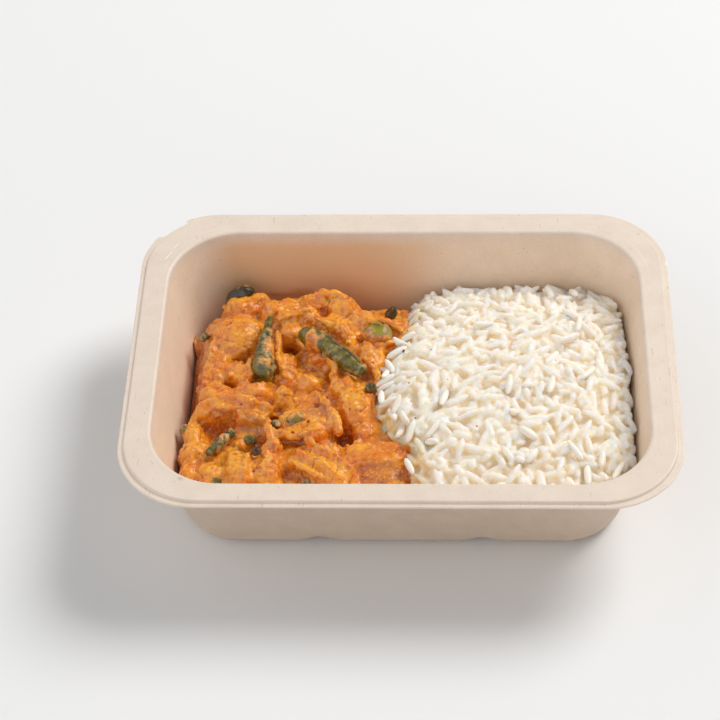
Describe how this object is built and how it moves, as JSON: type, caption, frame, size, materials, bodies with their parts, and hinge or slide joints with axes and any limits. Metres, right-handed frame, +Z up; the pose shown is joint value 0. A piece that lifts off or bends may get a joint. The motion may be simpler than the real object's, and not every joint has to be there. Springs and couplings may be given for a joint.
{
  "type": "moulded fibre tray meal of chicken curry and rice",
  "caption": "Rectangular moulded fibre takeaway tray with a flanged rim, half filled with creamy chicken and green bean curry and half with steamed rice.",
  "frame": {"origin": "middle of the tray's base, on the surface that the tray stands on", "axes": "+X along the tray's length towards the rice, +Y from the front edge to the back, +Z up"},
  "size_m": [0.215, 0.159, 0.0485],
  "materials": {
    "moulded_fibre": "smooth satin on the food side and flange, fine screen mark outside",
    "rice": "moist, slightly translucent",
    "sauce": "wet, creamy, glossy",
    "chicken": "cooked meat coated in wet sauce",
    "green_bean": "wet cooked green skin, partly coated in sauce",
    "spice": "wet and dark"
  },
  "bodies": {
    "root": {"fibre_tray": "moulded_fibre", "steamed_rice": "rice", "curry_sauce": "sauce", "chicken_arch": "chicken", "chicken_back": "chicken", "chicken_back_left": "chicken", "chicken_back_right": "chicken", "chicken_front_flat": "chicken", "chicken_front_left": "chicken", "chicken_front_middle": "chicken", "chicken_front_ridge": "chicken", "chicken_left": "chicken", "chicken_left_front": "chicken", "chicken_middle": "chicken", "chicken_under_bean": "chicken", "bean_long": "green_bean", "bean_upright": "green_bean", "bean_pod": "green_bean", "bean_stub_back": "green_bean", "bean_tip_back": "green_bean", "bean_bit_right": "green_bean", "bean_end_middle": "green_bean", "bean_cut_middle": "green_bean", "bean_strip_left": "green_bean", "bean_dark_left": "green_bean", "bean_sliver_front": "green_bean", "bean_sliver_left": "green_bean", "bean_edge_left": "green_bean", "spice_bean": "spice"}
  },
  "joints": []
}
